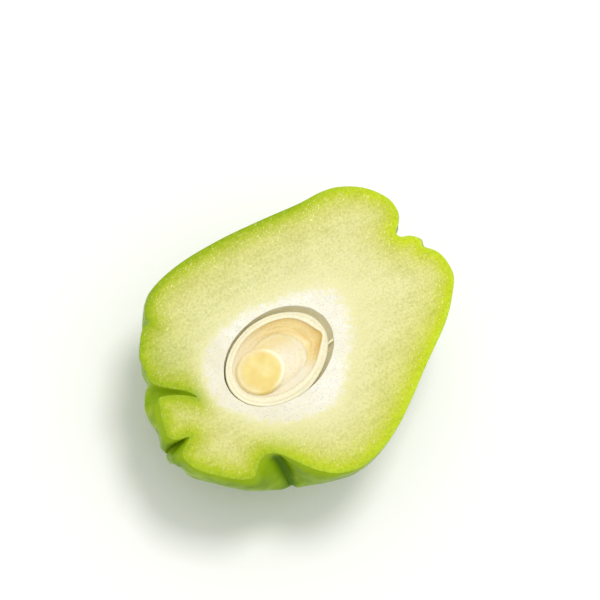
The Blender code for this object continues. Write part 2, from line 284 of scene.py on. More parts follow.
def makeFleshMaterial():
    look = fleshLook
    material, tree, shader = startMaterial("chayote flesh, knife-cut", Roughness=0.4, IOR=1.36,
                                           Specular_IOR_Level=0.14, Subsurface_Weight=0.2,
                                           Subsurface_Scale=0.9 * mm, Subsurface_Radius=(1.0, 0.95, 0.45))
    place, marks = readMarks(tree, ("skinDistance", "coreInside", "halo", "sunny", "leftShade", "greener",
                                    "fleckiness", "wall"))
    edgeNoise = addNode(tree, "TexNoise", {"Vector": place, "Scale": perMm(look["edgeGrain"]), "Detail": 4.0})
    ragged = addNode(tree, "MapRange", {"Value": edgeNoise, "From Min": 0.3, "From Max": 0.7,
                                        "To Min": -1.0, "To Max": 1.0})

    # green under the skin, paler inwards; painted light: brighter towards the light, darker away from it
    bandPlace = addNode(tree, "Math", {0: ragged, 1: look["bandRagged"], 2: marks["skinDistance"]},
                        operation="MULTIPLY_ADD")
    rampPlace = addNode(tree, "MapRange", {"Value": bandPlace, "From Max": look["rampDepth"]})
    shaded = addNode(tree, "ValToRGB", {"Fac": rampPlace}, ramp=look["shadedSide"])
    sunny = addNode(tree, "ValToRGB", {"Fac": rampPlace}, ramp=look["sunnySide"])
    colour = addNode(tree, "Mix", {"Factor": marks["sunny"], "A": shaded, "B": sunny}, data_type="RGBA")

    # greener at the cheek, then clouds, grit and lengthwise fibres
    clouds = addNode(tree, "TexNoise", {"Vector": place, "Scale": perMm(look["cloudSize"]), "Detail": 5.0})
    grit = addNode(tree, "TexNoise", {"Vector": place, "Scale": perMm(look["gritSize"]), "Detail": 2.0})
    along = addNode(tree, "Mapping", {"Vector": place, "Rotation": (0, 0, math.radians(look["fibreTurn"])),
                                      "Scale": inMm(look["fibreGrain"])}, vector_type="TEXTURE")
    fibres = addNode(tree, "TexNoise", {"Vector": along, "Scale": 1.0, "Detail": 3.0})
    tints = [(marks["greener"], "greener")]
    for pattern, low, most, tint in ((clouds, 0.42, 0.5, "shade"), (grit, 0.45, 0.45, "grit"),
                                     (fibres, 0.45, 0.4, "shade")):
        share = addNode(tree, "MapRange", {"Value": pattern, "From Min": low, "From Max": 0.7,
                                           "To Max": most})
        tints.append((share, tint))
    for share, tint in tints:
        colour = addNode(tree, "Mix", {"Factor": share, "A": colour, "B": look[tint]}, data_type="RGBA",
                         blend_type="MULTIPLY")

    # a pale yellow halo, then the white core with its feathered edge and grey specks, and painted shade at
    # its left end
    haloShare = addNode(tree, "Math", {0: marks["halo"], 1: 1.6}, operation="POWER")
    haloShare = addNode(tree, "Math", {0: haloShare, 1: look["haloStrength"]}, operation="MULTIPLY")
    colour = addNode(tree, "Mix", {"Factor": haloShare, "A": colour, "B": look["halo"]}, data_type="RGBA")
    coreEdge = addNode(tree, "Math", {0: ragged, 1: look["coreRagged"], 2: marks["coreInside"]},
                       operation="MULTIPLY_ADD")
    coreShare = addNode(tree, "MapRange", {"Value": coreEdge, "From Min": -2.0, "From Max": 1.4},
                        interpolation_type="SMOOTHSTEP")
    cream = addNode(tree, "TexNoise", {"Vector": place, "Scale": perMm(look["creamSize"]), "Detail": 3.0})
    creamAndLeftShade = addNode(tree, "MapRange", {"Value": cream, "From Min": 0.42, "From Max": 0.62,
                                            "To Max": 0.4})
    # painted shade: the core is pushed towards cream at its left end, away from the light
    creamAndLeftShade = addNode(tree, "Math", {0: creamAndLeftShade, 1: marks["leftShade"]}, operation="ADD", use_clamp=True)
    cotton = addNode(tree, "TexNoise", {"Vector": place, "Scale": perMm(look["coreGrain"]), "Detail": 4.0,
                                        "Roughness": 0.65})
    cottonShare = addNode(tree, "MapRange", {"Value": cotton, "From Min": 0.48, "From Max": 0.72,
                                             "To Max": 0.6})
    specks = addNode(tree, "TexVoronoi", {"Vector": place, "Scale": perMm(look["speckSize"])})
    speckShare = addNode(tree, "MapRange", {"Value": specks, "From Min": 0.22, "From Max": 0.1,
                                            "To Max": 0.6})
    core = look["core"]
    for share, layer in ((creamAndLeftShade, "coreCreamAndShade"), (cottonShare, "coreShade"), (speckShare, "coreSpeck")):
        core = addNode(tree, "Mix", {"Factor": share, "A": core, "B": look[layer]}, data_type="RGBA")
    colour = addNode(tree, "Mix", {"Factor": coreShare, "A": colour, "B": core}, data_type="RGBA")

    # painted highlights: bright flecks in two sizes stand in for glints of the wet cut cells, each cell with
    # a fleck of its own size
    fleckHeights = []
    for grain, bare, smallest, largest, strength in look["flecks"]:
        cells = addNode(tree, "Mapping", {"Vector": place, "Scale": inMm(grain),
                                          "Rotation": (0, 0, math.radians(look["fleckTurn"]))},
                        vector_type="TEXTURE")
        flecks = addNode(tree, "TexVoronoi", {"Vector": cells, "Scale": 1.0})
        chance = addNode(tree, "SeparateColor", {"Color": flecks.outputs["Color"]})
        size = addNode(tree, "MapRange", {"Value": chance, "From Min": bare, "To Min": smallest,
                                          "To Max": largest})
        over = addNode(tree, "Math", {0: size, 1: flecks.outputs["Distance"]}, operation="SUBTRACT")
        share = addNode(tree, "MapRange", {"Value": over, "From Max": look["fleckSoftness"],
                                           "To Max": strength})
        share = addNode(tree, "Math", {0: share, 1: marks["fleckiness"]}, operation="MULTIPLY")
        colour = addNode(tree, "Mix", {"Factor": share, "A": colour, "B": look["fleck"]}, data_type="RGBA")
        fleckHeights.append(share)

    # the duller wall of the hollow
    colour = addNode(tree, "Mix", {"Factor": marks["wall"], "A": colour, "B": look["wall"]}, data_type="RGBA")
    bumps = [(cotton, 0.2, 0.4), (fleckHeights[0], 0.1, 0.6), (fibres, 0.2, 0.3)]
    finishMaterial(tree, shader, colour, bumps)
    return material


# Seed coat, soft and moist: cream where it is cut, wrinkled where its lining shows inside, with painted shade
# in tan and brown there
coatLook = {
    "cut": "#efe9c8", "cutShade": "#e3dab0", "cutLine": "#d0c396", "lining": "#f3ead0", "tanShade": "#f2dc9c",
    "brownShade": "#dcba66", "grainSize": 0.8,
}


def makeCoatMaterial():
    look = coatLook
    material, tree, shader = startMaterial("seed coat, moist", Roughness=0.36, IOR=1.4, Coat_Weight=0.2,
                                           Coat_Roughness=0.15, Specular_IOR_Level=0.4, Subsurface_Weight=0.4,
                                           Subsurface_Scale=1.4 * mm, Subsurface_Radius=(1.0, 0.85, 0.45))
    place, marks = readMarks(tree, ("tanShade", "lining", "cutLine", "brownShade"))
    grain = addNode(tree, "TexNoise", {"Vector": place, "Scale": perMm(look["grainSize"]), "Detail": 4.0})
    cutShare = addNode(tree, "MapRange", {"Value": grain, "From Min": 0.42, "From Max": 0.7, "To Max": 0.7})
    blotch = addNode(tree, "MapRange", {"Value": grain, "From Min": 0.3, "From Max": 0.7,
                                        "To Min": -0.15, "To Max": 0.15})
    brownShare = addNode(tree, "Math", {0: marks["brownShade"], 1: blotch}, operation="ADD", use_clamp=True)
    tanShade = addNode(tree, "Mix", {"Factor": brownShare, "A": look["tanShade"], "B": look["brownShade"]}, data_type="RGBA")
    tanEdge = addNode(tree, "Math", {0: marks["tanShade"], 1: blotch}, operation="ADD")
    tanShare = addNode(tree, "MapRange", {"Value": tanEdge, "From Min": 0.15, "From Max": 0.95})
    colour = look["cut"]
    for share, layer in ((cutShare, look["cutShade"]), (marks["lining"], look["lining"]), (tanShare, tanShade),
                         (marks["cutLine"], look["cutLine"])):
        colour = addNode(tree, "Mix", {"Factor": share, "A": colour, "B": layer}, data_type="RGBA")
    finishMaterial(tree, shader, colour, [(grain, 0.12, 0.5)])
    return material


# Seed kernel, firm and waxy: yellow where the knife cut it, cream on its own skin, with a painted highlight
# along the lit side of the cut face
kernelLook = {
    "cut": "#ead680", "cutDeep": "#e6cb70", "cutPale": "#efde94", "rim": "#fbf7de", "skin": "#ecdaa0",
    "skinPale": "#f3e9d0", "skinShade": "#e0d0a4", "mottleSize": 4.5, "skinGrain": 1.0,
}


def makeKernelMaterial():
    look = kernelLook
    material, tree, shader = startMaterial("seed kernel, waxy", Roughness=0.42, IOR=1.42, Coat_Weight=0.12,
                                           Coat_Roughness=0.2, Specular_IOR_Level=0.35,
                                           Subsurface_Weight=0.4, Subsurface_Scale=1.6 * mm,
                                           Subsurface_Radius=(1.0, 0.8, 0.35))
    place, marks = readMarks(tree, ("cutShare", "rimHighlight", "pale"))
    mottle = addNode(tree, "TexNoise", {"Vector": place, "Scale": perMm(look["mottleSize"]), "Detail": 4.0})
    mottleShare = addNode(tree, "MapRange", {"Value": mottle, "From Min": 0.3, "From Max": 0.7})
    cut = addNode(tree, "ValToRGB", {"Fac": mottleShare},
                  ramp=((0.0, look["cutDeep"]), (0.5, look["cut"]), (1.0, look["cutPale"])))
    grain = addNode(tree, "TexNoise", {"Vector": place, "Scale": perMm(look["skinGrain"]), "Detail": 4.0})
    grainShare = addNode(tree, "MapRange", {"Value": grain, "From Min": 0.5, "From Max": 0.72, "To Max": 0.5})
    colour = look["skin"]
    for share, layer in ((marks["pale"], look["skinPale"]), (grainShare, look["skinShade"]),
                         (marks["cutShare"], cut), (marks["rimHighlight"], look["rim"])):
        colour = addNode(tree, "Mix", {"Factor": share, "A": colour, "B": layer}, data_type="RGBA")
    finishMaterial(tree, shader, colour, [(mottle, 0.12, 0.3), (grain, 0.08, 0.3)])
    return material


# The fruit: skin, flesh, core and stem stub in one closed mesh

# The cut edge, clockwise as seen from above, in mm: smooth lobes, and creases from one lip to the other.
# A lobe swells by its flare below the cut. A crease has faded out at its reach below the cut and wandered
# by its drift there, and the fruit swells by its bulge where the crease has gone. Its crevice is how deep
# the fine line along its bottom is, and how dark the painted shade along that line is.
cutEdge = [
    dict(lobe="upper side", flare=0.5, points=[(-25, 43.8), (-14, 44.3), (2, 42.3), (17.5, 38.9), (33, 35)]),
    dict(lobe="upper shoulder", flare=0.4, points=[(42, 33.4), (48, 31), (55, 25), (58.6, 17.5)]),
    dict(crease="stem dimple", reach=20, drift=0, bulge=1, points=[(57.3, 11.7), (54.6, 8.8), (51.3, 6.1)],
         knob=[(51.6, 4.4), (53.7, 3), (55.2, 1.2), (55.7, -1), (54.4, -3)],
         lastPoints=[(55.5, -4.9), (57, -6.9)]),
    dict(lobe="lower shoulder", flare=0.4, points=[(58, -11.3), (56.1, -17), (51, -21.4)]),
    dict(lobe="lower side", flare=0.2, points=[(42, -26.9), (24, -33.9), (13, -38.4), (2.5, -42.1)]),
    dict(lobe="belly lobe", flare=0.8, points=[(-8, -44), (-17.5, -43.6)]),
    dict(crease="big furrow", reach=14, drift=-7, bulge=4, crevice=1.3,
         points=[(-23.8, -39.8), (-27.4, -35.2), (-30.2, -30.4), (-32.6, -25.8), (-35, -22.2), (-38, -20.4),
                 (-40.8, -20.5), (-43.2, -22), (-45.6, -22.8), (-50.4, -19.8)]),
    dict(lobe="blossom lobe", flare=1.5, points=[(-54.8, -14.6), (-57.9, -9), (-58.3, -5.6)]),
    dict(crease="small furrow", reach=13, drift=2, bulge=2, crevice=0.6,
         points=[(-56.6, -3.2), (-53.9, -2), (-51.8, -1.1), (-53.4, -0.2), (-55.4, 0.9)]),
    dict(lobe="lip lobe", flare=2.8, points=[(-56.8, 3.8), (-54.8, 8)]),
    dict(crease="mouth slit", reach=4.5, drift=0, bulge=2.5,
         points=[(-51.2, 12.2), (-48.7, 15.6), (-46.3, 14), (-43, 9.9), (-41.4, 7.2), (-42.4, 10.4),
                 (-45.7, 14.7), (-48.1, 17.4), (-49.3, 20.5)]),
    dict(lobe="cheek", flare=-2.4, points=[(-49.2, 24), (-47.4, 29), (-43, 33.4)]),
    dict(crease="fold", reach=10, drift=0, bulge=0.5,
         points=[(-38.6, 35.5), (-36.3, 35.5), (-35.6, 37), (-33.6, 39.2)]),
    dict(lobe="upper corner", flare=1.4, points=[(-31.4, 40.9), (-28.6, 42.5)]),
]

fruitShape = {
    "depth": 38.0, "belly": (-1.0, 1.0), "flatShare": 0.15, "sideRoundness": 2.2, "endRoundness": 2.42,
    "flareDepth": 5.0, "pinch": 3.0, "knobDepth": 4.6, "furrowStart": 11.0, "creviceSharpness": 45,
    # the first pair is the depth below the cut over which the fresh green and painted light of the flank fade
    # out
    "freshAndLitFade": (0.5, 4.0), "fullValley": 7, "fullCrevice": 1.5, "sharpAngle": 50,
    "backFurrows": [(40, 1.0, 10), (79, 0.9, 9), (113, 1.2, 11), (148, 0.9, 9)],  # degrees, depth, width
    "furrowMiddle": 0.3, "furrowEnds": 1.5, "halfLength": 54.0,
    "columnSpacing": 0.62, "rows": 80, "rowCrowding": 1.2,
    "lumps": (0.3, (24, 16, 16)), "wrinkles": (0.10, (22, 3.4, 3.4)), "creping": (0.025, (5, 1.5, 1.5)),
    "pressFrom": 0.6, "edgeRadius": 0.25, "edgeSteps": 3,
    "cutSpacing": 0.62, "cutJitter": 0.2, "cutRelief": 0.06, "reliefGrain": (6, 2.2, 1),
    "hollowCentre": (-11.0, 0.3), "hollowRadii": (21.2, 14.5, 9.6), "hollowColumns": 160, "hollowRows": 22,
    "hollowLumps": (0.008, (2.6, 2.6, 2.6)),
}

# How the cut is coloured. The tables are (degrees round, value) pairs. The core and its halo go round the
# hollow, and their values are mm. The sunny share, painted light that brightens the side of the cut towards
# the light, goes round the whole fruit. Each other pair is the mm between which a mark fades in or out, along
# or across the fruit, from the skin or from the core's edge.
cutColouring = {
    # painted shade: how strongly, and over which mm along the fruit, the core darkens towards its left end
    "leftShadeShare": 0.6, "leftShadeAlong": (10, 34),
    "greenAlong": (26, 50), "greenUp": (0, 24), "greenFromSkin": (1, 6),
    "flecksToStem": (-25, 40), "flecksAtCore": (-2, 2), "flecksInBand": (0.5, 4.5), "flecksInside": (4, 12),
    "coreWidth": [(-180, 5), (-165, 3.3), (-128, 5.6), (-82, 8.6), (-45, 4.2), (-15, 5.5), (8, 9), (28, 4),
                  (52, 1.8), (97, 3.6), (142, 6.4)],
    "coreSharpness": [(-180, 1), (-100, 0.9), (-60, 0.7), (-10, 0.5), (25, 0.6), (60, 0.9), (97, 1)],
    "haloWidth": [(-180, 6), (-128, 12), (-82, 14), (-45, 12), (0, 28), (30, 22), (52, 12), (97, 9)],
    "sunny": [(-180, 0.25), (-150, 0.4), (-100, 0.8), (-60, 1), (0, 1), (25, 0.8), (48, 0), (140, 0)],
}


def bridgePoints(points, first, last, bulge):  # lays them on a low arc, as if the crease weren't there
    start, end = points[first - 1], points[(last + 1) % len(points)]
    run = np.vstack([start, points[first:last + 1], end])
    steps = np.cumsum(np.linalg.norm(np.diff(run, axis=0), axis=1))
    share = (steps[:-1] / steps[-1])[:, None]
    chord = end - start
    outward = np.array([-chord[1], chord[0]]) / np.linalg.norm(chord)
    points[first:last + 1] = start + chord * share + outward * bulge * 4 * share * (1 - share)


def readCutEdge():
    cut, runs, creaseRuns, knobRuns = [], [], [], []
    for part in cutEdge:
        first = len(cut)
        cut.extend(part["points"])
        if "crease" in part:
            knob = part.get("knob", [])
            if knob:
                knobRuns.append((len(cut), len(cut) + len(knob) - 1))
            cut.extend(knob + part.get("lastPoints", []))
            creaseRuns.append((first, len(cut) - 1, part["bulge"]))
        runs.append((first, len(cut) - 1))
    cut = np.array(cut, float)
    plain, smooth = cut.copy(), cut.copy()
    for first, last in knobRuns:
        bridgePoints(plain, first, last, 0.0)
    for first, last, bulge in creaseRuns:
        bridgePoints(smooth, first, last, bulge)
    return cut, plain, smooth, runs


def furrowed(flat, depth, shape):  # the back's furrows, pressed in towards the long axis
    angle = np.degrees(np.arctan2(depth, flat[:, 1]))
    endwise = np.clip(np.abs(flat[:, 0]) / shape["halfLength"], 0, 1) ** 3
    weight = shape["furrowMiddle"] + (shape["furrowEnds"] - shape["furrowMiddle"]) * endwise
    press = sum(deep * np.exp(-((angle - at) / width) ** 2) for at, deep, width in shape["backFurrows"])
    press = press * weight * np.clip(depth / shape["furrowStart"], 0, 1) * (1 - (depth / shape["depth"]) ** 4)
    kept = 1 - press / np.maximum(np.hypot(flat[:, 1], depth), 1)
    return np.stack([flat[:, 0], flat[:, 1] * kept, shape["depth"] - depth * kept], axis=1)


def skinGrid(shape):
    cut, plain, smooth, runs = readCutEdge()
    perSpan = spanCounts(cut, shape["columnSpacing"])
    placeInList = np.concatenate([k + np.arange(n) / n for k, n in enumerate(perSpan)])
    period = len(cut)
    cut, plain, smooth = (smoothCurve(points, perSpan) for points in (cut, plain, smooth))

    def alongEdge(knots):  # a value for each column, read between knots of place in the list and value
        return np.interp(placeInList, *zip(*knots), period=period)

    lobes = [(run, part) for run, part in zip(runs, cutEdge) if "lobe" in part]
    creases = [(run, part) for run, part in zip(runs, cutEdge) if "crease" in part]
    flare = alongEdge([(end, part["flare"]) for run, part in lobes for end in run])
    reach = alongEdge([(sum(run) / 2, part["reach"]) for run, part in creases])
    drift = alongEdge([(sum(run) / 2, part.get("drift", 0)) for run, part in zip(runs, cutEdge)])
    inset = np.linalg.norm(plain - smooth, axis=1)
    deepest = alongEdge([(sum(run) / 2, inset[(placeInList >= run[0]) & (placeInList <= run[1])].max())
                         for run, part in creases])
    creaseShare = np.clip(inset / deepest, 1e-6, 1)
    closed = np.vstack([smooth, smooth[:1]])
    length = np.concatenate([[0], np.cumsum(np.linalg.norm(np.diff(closed, axis=0), axis=1))])
    outward = outwardOf(smooth)
    fromBelly = smooth - shape["belly"]
    endwise = fromBelly[:, 0] ** 2 / (fromBelly ** 2).sum(axis=1)
    roundness = shape["sideRoundness"] + (shape["endRoundness"] - shape["sideRoundness"]) * endwise
    crevice = alongEdge([(sum(run) / 2, part.get("crevice", 0)) for run, part in zip(runs, cutEdge)])
    rows, valleys, crevices = [], [], []
    lastAngle = math.acos(shape["flatShare"])
    for row in range(shape["rows"] + 1):
        share = math.cos(lastAngle * (row / shape["rows"]) ** shape["rowCrowding"])
        depth = shape["depth"] * (1 - share ** roundness) ** (1 / roundness)
        depth = np.maximum(depth, shape["edgeRadius"])
        if row == shape["rows"]:
            depth = np.full_like(depth, shape["depth"])
        down = np.clip(depth / reach, 0, 1)
        place = np.mod(length[:-1] + drift * np.sin(down * math.pi / 2), length[-1])
        body = np.stack([np.interp(place, length, closed[:, i]) for i in (0, 1)], axis=1)
        kept = (1 - down ** 2) ** 2 * creaseShare ** (shape["pinch"] * np.sqrt(down))
        crease = (plain - smooth) * kept[:, None]
        knob = (cut - plain) * np.sqrt(np.clip(1 - (depth / shape["knobDepth"]) ** 2, 0, 1))[:, None]
        swell = np.sin(np.sqrt(np.clip(depth / shape["flareDepth"], 0, 4)) * math.pi / 2) * flare
        flat = shape["belly"] + (body - shape["belly"]) * share + crease + knob + outward * swell[:, None]
        rows.append(furrowed(flat, depth, shape))
        valleys.append(np.linalg.norm(crease + knob, axis=1))
        fading = smoothStep(depth, 0.3, 3.0) * (1 - smoothStep(depth / reach, 0.7, 1.6))
        crevices.append(crevice * creaseShare ** shape["creviceSharpness"] * fading)
    return np.array(rows), np.array(valleys), np.array(crevices)


def wrinkleSkin(grid, crevices, shape):  # presses each point in along the skin's own normal, and never out
    across = np.roll(grid, -1, axis=1) - np.roll(grid, 1, axis=1)
    down = np.gradient(grid, axis=0)
    inward = np.cross(down, across)
    inward /= np.maximum(np.linalg.norm(inward, axis=2), 1e-9)[..., None]
    depth = shape["depth"] - grid[..., 2]
    calm = smoothStep(depth, 0.3, 2.5) * (1 - smoothStep(depth, 0.7 * shape["depth"], shape["depth"]))
    patterns = (shape["lumps"], shape["wrinkles"], shape["creping"])
    press = sum(height * np.clip(shape["pressFrom"] - noiseAt(grid, grain, shift), 0, None)
                for shift, (height, grain) in enumerate(patterns))
    moved = grid + inward * (press * calm + crevices)[..., None]
    moved[0, :, 2] = grid[0, :, 2]
    moved[..., 2] = np.clip(moved[..., 2], 0, shape["depth"] - shape["edgeRadius"])
    return moved


def cutFace(rim, hollowRim, shape):  # fine triangles between the rim and the hollow, with even spacing
    spacing = shape["cutSpacing"]
    low, high = rim.min(axis=0), rim.max(axis=0)
    rowStep = spacing * math.sqrt(3) / 2
    ys = np.arange(low[1], high[1], rowStep)
    xs = np.arange(low[0], high[0], spacing)
    gx, gy = np.meshgrid(xs, ys)
    gx = gx + (np.arange(len(ys)) % 2 * spacing / 2)[:, None]
    points = np.stack([gx.ravel(), gy.ravel()], axis=1)
    jitter = shape["cutJitter"]
    points += np.random.default_rng(7).uniform(-jitter, jitter, points.shape) * spacing
    points = points[insideOf(rim, points)]
    points = points[~insideOf(hollowRim, points)]
    toEdges = np.minimum(distanceTo(rim, points), distanceTo(hollowRim, points))
    points = points[toEdges > 0.5 * spacing]
    count, holes = len(rim), len(hollowRim)
    everything = np.vstack([rim, hollowRim, points])
    edges = [(i, (i + 1) % count) for i in range(count)]
    edges += [(count + i, count + (i + 1) % holes) for i in range(holes)]
    found = delaunay_2d_cdt([Vector(p) for p in everything.tolist()], edges, [], 0, 1e-6)
    corners = np.array([old[0] for old in found[3]])
    faces = corners[np.array([list(f) for f in found[2]])]
    middle = everything[faces].mean(axis=1)
    faces = faces[insideOf(rim, middle) & ~insideOf(hollowRim, middle)]
    a, b, c = (everything[faces[:, i]] for i in range(3))
    turned = (b[:, 0] - a[:, 0]) * (c[:, 1] - a[:, 1]) - (b[:, 1] - a[:, 1]) * (c[:, 0] - a[:, 0]) < 0
    faces[turned] = faces[turned][:, ::-1]
    return everything, faces


def cutMarks(inner, rim, hollowRim, shape):  # what the flesh material reads at points of the cut
    look = cutColouring
    x, y = inner.T
    roundHollow = np.degrees(np.arctan2(y - shape["hollowCentre"][1], x - shape["hollowCentre"][0]))
    roundFruit = np.degrees(np.arctan2(y - shape["belly"][1], x - shape["belly"][0]))
    fromSkin = distanceTo(rim, inner)
    coreInside = roundTable(roundHollow, look["coreWidth"]) - distanceTo(hollowRim, inner)
    greener = smoothStep(-x, *look["greenAlong"]) * smoothStep(y, *look["greenUp"])
    fleckiness = 0.65 + 0.35 * smoothStep(x + y, *look["flecksToStem"])
    fleckiness = fleckiness * (1 - 0.5 * smoothStep(coreInside, *look["flecksAtCore"]))
    fleckiness = fleckiness * (0.35 + 0.65 * smoothStep(fromSkin, *look["flecksInBand"]))
    return {
        "skinDistance": fromSkin,
        "coreInside": coreInside * roundTable(roundHollow, look["coreSharpness"]),
        "halo": np.clip(1 + coreInside / roundTable(roundHollow, look["haloWidth"]), 0, 1),
        "sunny": roundTable(roundFruit, look["sunny"]),
        "leftShade": look["leftShadeShare"] * smoothStep(-x, *look["leftShadeAlong"]),
        "greener": greener * smoothStep(fromSkin, *look["greenFromSkin"]),
        "fleckiness": fleckiness * (1 - 0.25 * smoothStep(fromSkin, *look["flecksInside"])),
        "wall": np.zeros(len(inner)),
    }


def makeFruit(skinMaterial, fleshMaterial):
    shape = fruitShape
    top = shape["depth"]
    grid, valley, crevices = skinGrid(shape)
    depthOfSkin = top - grid[..., 2]
    grid = wrinkleSkin(grid, crevices, shape)
    rows, columns = grid.shape[:2]
    rim = grid[0, :, :2]
    inward = -outwardOf(rim)

    # the rounded edge of the cut, from the skin up to the flat
    edgeRings = []
    for step in range(1, shape["edgeSteps"] + 1):
        turn = step / shape["edgeSteps"] * math.pi / 2
        ring = rim + inward * shape["edgeRadius"] * (1 - math.cos(turn))
        height = top - shape["edgeRadius"] * (1 - math.sin(turn))
        edgeRings.append(np.column_stack([ring, np.full(columns, height)]))
    flatRim = edgeRings[-1][:, :2]

    # the hollow that the seed lies in, a little uneven
    around = -np.linspace(0, 2 * math.pi, shape["hollowColumns"], endpoint=False)
    a, b, c = shape["hollowRadii"]
    hollow = []
    for row in range(shape["hollowRows"]):
        turn = row / shape["hollowRows"] * math.pi / 2
        ring = np.stack([a * math.cos(turn) * np.cos(around), b * math.cos(turn) * np.sin(around),
                         np.full(len(around), -c * math.sin(turn))], axis=1)
        hollow.append(ring + (*shape["hollowCentre"], top))
    hollow = np.array(hollow)
    lumpShare, lumpGrain = shape["hollowLumps"]
    fromMiddle = hollow - (*shape["hollowCentre"], top)
    hollow += fromMiddle * (lumpShare * noiseAt(hollow, lumpGrain, 5.5))[..., None]
    hollow[0, :, 2] = top
    hollowRim = hollow[0, :, :2]
    bottom = np.array([[*shape["hollowCentre"], top - c]])

    flat, flatFaces = cutFace(flatRim, hollowRim, shape)
    ringCount, holeCount = columns, shape["hollowColumns"]
    inner = flat[ringCount + holeCount:]
    uneven = noiseAt(np.column_stack([inner, np.zeros(len(inner))]), shape["reliefGrain"], 9.0)
    calm = smoothStep(np.minimum(distanceTo(flatRim, inner), distanceTo(hollowRim, inner)), 0.2, 2.0)
    innerHeights = top - shape["cutRelief"] * calm * (0.5 + 0.5 * uneven)

    # one list of points: skin, rest spot, edge rings, hollow, its bottom, the inside of the cut face
    restSpot = np.array([[*shape["belly"], 0.0]])
    points = np.vstack([grid.reshape(-1, 3), restSpot, *edgeRings, hollow.reshape(-1, 3), bottom,
                        np.column_stack([inner, innerHeights])])
    restIndex = rows * columns
    edgeStart = restIndex + 1
    lastEdge = edgeStart + (shape["edgeSteps"] - 1) * columns
    hollowStart = lastEdge + columns
    bottomIndex = hollowStart + shape["hollowRows"] * holeCount
    innerStart = bottomIndex + 1
    faces = [tuple(f[::-1]) for f in gridFaces(rows, columns)]
    last = (rows - 1) * columns
    faces += [(last + (i + 1) % columns, last + i, restIndex) for i in range(columns)]
    skinCount = len(faces)
    faces += [(i, (i + 1) % columns, edgeStart + (i + 1) % columns, edgeStart + i) for i in range(columns)]
    faces += [tuple(f) for f in gridFaces(shape["edgeSteps"], columns, edgeStart)]
    faces += [tuple(f) for f in gridFaces(shape["hollowRows"], holeCount, hollowStart)[:, ::-1]]
    last = hollowStart + (shape["hollowRows"] - 1) * holeCount
    faces += [(last + (i + 1) % holeCount, last + i, bottomIndex) for i in range(holeCount)]
    newIndex = np.concatenate([lastEdge + np.arange(ringCount), hollowStart + np.arange(holeCount),
                               innerStart + np.arange(len(inner))])
    faces += [tuple(f) for f in newIndex[flatFaces]]
    which = np.zeros(len(faces), int)
    which[skinCount:] = 1

    # what the materials read, at every point from the edge rings inwards
    marks = {name: np.zeros(len(points)) for name in ("valley", "crevice", "freshAndLitNearCut")}
    marks["valley"][:restIndex] = np.clip(valley.ravel() / shape["fullValley"], 0, 1)
    # painted shade: the bottoms of the creases are darkened in the skin's colour
    marks["crevice"][:restIndex] = np.clip(crevices.ravel() / shape["fullCrevice"], 0, 1)
    # partly the fresh green under the cut, partly painted light: the flank is lighter near the cut and darker
    # further down
    marks["freshAndLitNearCut"][:restIndex] = 1 - smoothStep(depthOfSkin.ravel(), *shape["freshAndLitFade"])
    for name, values in cutMarks(points[edgeStart:, :2], rim, hollowRim, shape).items():
        marks[name] = np.append(np.zeros(edgeStart), values)
    marks["skinDistance"][edgeStart:hollowStart] = np.repeat(
        shape["edgeRadius"] * np.arange(1, shape["edgeSteps"] + 1) / shape["edgeSteps"], columns)
    marks["wall"][hollowStart + holeCount:innerStart] = 1
    fruit = makePiece("chayoteFruit", points, faces, [skinMaterial, fleshMaterial], which, marks,
                      shape["sharpAngle"])
    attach(fruit, "root")
    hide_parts("fruit_half")
    print("fruit made:", len(points), "points,", len(faces), "faces")


# The seed's coat: an open dish with a cut rim, a thin dark line in the rim and a wrinkled lining, painted tan
# as shade on its shadowed side. The gap table goes round the hollow: (degrees, mm between the coat and the
# hollow's wall). The pairs for the line and the painted tan shade are degrees round the coat.
coatShape = {
    "depth": 8.8, "insideCentre": (-12.2, 0.5), "insideRadii": (16.6, 11.3, 3.2), "belowCut": 0.1,
    "gap": [(-180, 0.55), (-165, 0.3), (-145, 0.1), (-130, 0.05), (-95, 0.05), (-70, 0.8), (-35, 1.9),
            (0, 2.6), (30, 2.4), (60, 1.5), (95, 1.0), (130, 0.85), (160, 0.7)],
    "columns": 240, "outerRows": 16, "rimRows": 8, "innerRows": 30, "wobble": 0.18, "rimHeight": 0.12,
    "lineAt": 0.42, "lineWidth": 0.07, "lineDepth": 0.1, "lineFade": (60, 120),
    "tip": 0.13, "tipTurn": -20, "tipWidth": 14, "folds": 0.2, "foldRound": 1.5, "foldRows": 1.7,
    # painted shade: tan on the dish's shadowed side, brown in the folds, at the tip and under the rim
    "tanFrom": (-80, -40), "tanTo": (45, 170), "brownWidth": 26,
    "brownShares": (0.55, 0.75, 0.4),  # in the folds, at the tip, under the rim
}


